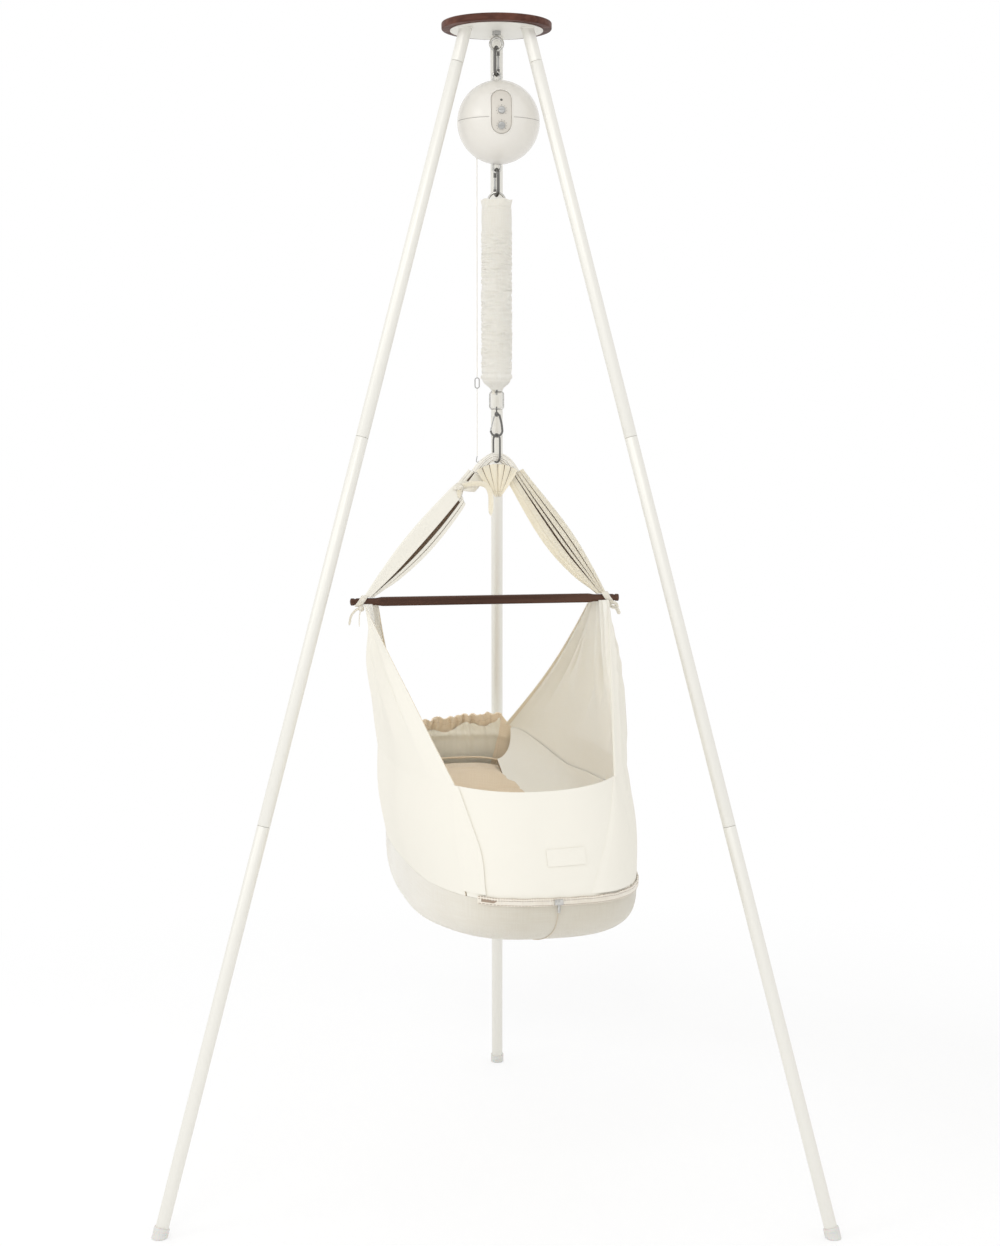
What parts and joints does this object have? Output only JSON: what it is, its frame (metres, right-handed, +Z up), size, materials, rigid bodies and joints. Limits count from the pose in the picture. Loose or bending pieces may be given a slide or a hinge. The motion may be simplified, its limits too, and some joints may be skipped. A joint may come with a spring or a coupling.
{
  "type": "baby hammock with stand",
  "caption": "Cotton baby hammock with mattress hung from a wooden bar, sprung chain and ball-shaped rocking motor inside a tall three-legged steel stand",
  "frame": {"origin": "middle of the footprint, on the floor", "axes": "+Z up, +X to the viewer's right, +Y away from the viewer towards the rear leg"},
  "size_m": [1.0424, 0.9766, 1.849],
  "materials": {
    "walnut": "dark oiled walnut",
    "cream_powder_coat": "cream-white powder coat",
    "foot_rubber": "pale translucent rubber",
    "cream_plastic": "warm cream, satin",
    "gunmetal": "dark plated steel",
    "chrome": "nickel-chrome plate",
    "steel": "bright steel",
    "natural_cotton": "natural woven cotton, off-white",
    "beige_cotton": "beige woven cotton",
    "zip_tape": "beige woven tape with small teeth",
    "lens": "dark indicator lens",
    "board": "green circuit board",
    "dark_plastic": "black moulded plastic"
  },
  "bodies": {
    "stand": {"top_disc": "walnut", "top_plate": "cream_powder_coat", "eye_bolt": "chrome", "eye_bolt_nut": "steel", "leg_lower_left": "cream_powder_coat", "leg_lower_rear": "cream_powder_coat", "leg_lower_right": "cream_powder_coat", "leg_middle_left": "cream_powder_coat", "leg_middle_rear": "cream_powder_coat", "leg_middle_right": "cream_powder_coat", "leg_upper_left": "cream_powder_coat", "leg_upper_rear": "cream_powder_coat", "leg_upper_right": "cream_powder_coat", "foot_left": "foot_rubber", "foot_right": "foot_rubber", "foot_rear": "foot_rubber"},
    "upper_link": {"upper_carabiner": "gunmetal"},
    "upper_gate": {"upper_carabiner_gate": "steel"},
    "motor_unit": {"motor_shell_upper": "cream_plastic", "motor_shell_lower": "cream_plastic", "motor_hanger": "chrome", "control_panel": "cream_plastic", "indicator_lens": "lens", "circuit_board": "board", "gear_motor": "steel", "power_inlet": "dark_plastic"},
    "speed_control": {"speed_knob": "steel"},
    "timer_control": {"timer_knob": "steel"},
    "drum": {"cord_drum": "dark_plastic"},
    "lower_link": {"lower_carabiner": "gunmetal"},
    "lower_gate": {"lower_carabiner_gate": "steel"},
    "spring_head": {"spring_top_ring": "chrome", "spring": "steel", "spring_sleeve": "natural_cotton", "safety_strap": "natural_cotton", "pull_cord_upper": "natural_cotton"},
    "spring_foot": {"spring_bottom_ring": "chrome", "hook_swivel": "gunmetal", "cord_clip": "steel"},
    "hammock_top": {"snap_hook": "gunmetal", "hanging_ring": "gunmetal", "apex_gather": "natural_cotton", "apex_tie": "natural_cotton", "strap_left": "natural_cotton", "strap_right": "natural_cotton", "spreader_bar": "walnut", "bar_tie_left": "natural_cotton", "bar_tie_right": "natural_cotton", "pull_cord_lower": "natural_cotton", "cord_hook": "steel"},
    "hook_gate": {"snap_hook_gate": "steel"},
    "basket": {"side_panel_left": "natural_cotton", "side_panel_right": "natural_cotton", "foot_panel": "natural_cotton", "head_panel": "natural_cotton", "mattress_pocket": "natural_cotton", "mattress": "beige_cotton", "zip": "zip_tape"},
    "zip_pull": {"zip_slider": "steel"}
  },
  "joints": [
    {"name": "upper_link_swing", "type": "hinge", "parent": "stand", "child": "upper_link", "pos_m": [0, -0.11173, 1.80695], "axis": [1, 0, 0], "range_deg": [-10, 1.2]},
    {"name": "motor_sway", "type": "hinge", "parent": "upper_link", "child": "motor_unit", "pos_m": [0, -0.11173, 1.7687], "axis": [0.309, 0.9511, 0], "range_deg": [-5, 5]},
    {"name": "lower_link_swing", "type": "hinge", "parent": "motor_unit", "child": "lower_link", "pos_m": [0, -0.11173, 1.6186], "axis": [-1, 0, 0], "range_deg": [-1.5, 10]},
    {"name": "spring_sway", "type": "hinge", "parent": "lower_link", "child": "spring_head", "pos_m": [0, -0.11173, 1.5826], "axis": [0.309, -0.9511, 0], "range_deg": [-5, 5]},
    {"name": "spring_stretch", "type": "slide", "parent": "spring_head", "child": "spring_foot", "axis": [0, 0, -1], "range_m": [-0.02, 0.1], "stiffness_N_per_m": 300, "springref_m": -0.12759, "deforming": ["spring", "spring_sleeve", "safety_strap", "pull_cord_upper"]},
    {"name": "hammock_yaw", "type": "hinge", "parent": "spring_foot", "child": "hammock_top", "pos_m": [0, -0.11173, 1.2423], "axis": [0, 0, 1], "range_deg": [-60, 60]},
    {"name": "basket_pitch", "type": "hinge", "parent": "hammock_top", "child": "basket", "pos_m": [-0.017, -0.11173, 0.9426], "axis": [0.9781, 0.2079, 0], "range_deg": [-5, 5]},
    {"name": "upper_gate_turn", "type": "hinge", "parent": "upper_link", "child": "upper_gate", "pos_m": [0.00263, -0.10365, 1.7813], "axis": [0.9511, -0.309, 0], "range_deg": [0, 20], "stiffness_Nm_per_rad": 0.002, "springref_deg": -22.92},
    {"name": "lower_gate_turn", "type": "hinge", "parent": "lower_link", "child": "lower_gate", "pos_m": [-0.00263, -0.10365, 1.5952], "axis": [0.9511, 0.309, 0], "range_deg": [0, 20], "stiffness_Nm_per_rad": 0.002, "springref_deg": -22.92},
    {"name": "hook_gate_turn", "type": "hinge", "parent": "hammock_top", "child": "hook_gate", "pos_m": [-0.004, -0.11173, 1.2352], "axis": [0, -1, 0], "range_deg": [0, 12], "stiffness_Nm_per_rad": 0.002, "springref_deg": -22.92},
    {"name": "speed_knob_turn", "type": "hinge", "parent": "motor_unit", "child": "speed_control", "pos_m": [0.00799, -0.17518, 1.70585], "axis": [0.0775, -0.9852, 0.153], "range_deg": [-270, 0]},
    {"name": "timer_knob_turn", "type": "hinge", "parent": "motor_unit", "child": "timer_control", "pos_m": [0.00794, -0.17456, 1.68272], "axis": [0.0768, -0.9755, -0.2062], "range_deg": [-270, 0]},
    {"name": "drum_spin", "type": "hinge", "parent": "motor_unit", "child": "drum", "pos_m": [-0.021, -0.11173, 1.684], "axis": [0, -1, 0], "range_deg": [-120, 580]},
    {"name": "zip_slide", "type": "slide", "parent": "basket", "child": "zip_pull", "axis": [0.9781, 0.2079, 0], "range_m": [-0.03, 0.03]}
  ],
  "couplings": [
    {"joint": "drum_spin", "follows": "spring_stretch", "rad_per_m": 100}
  ]
}
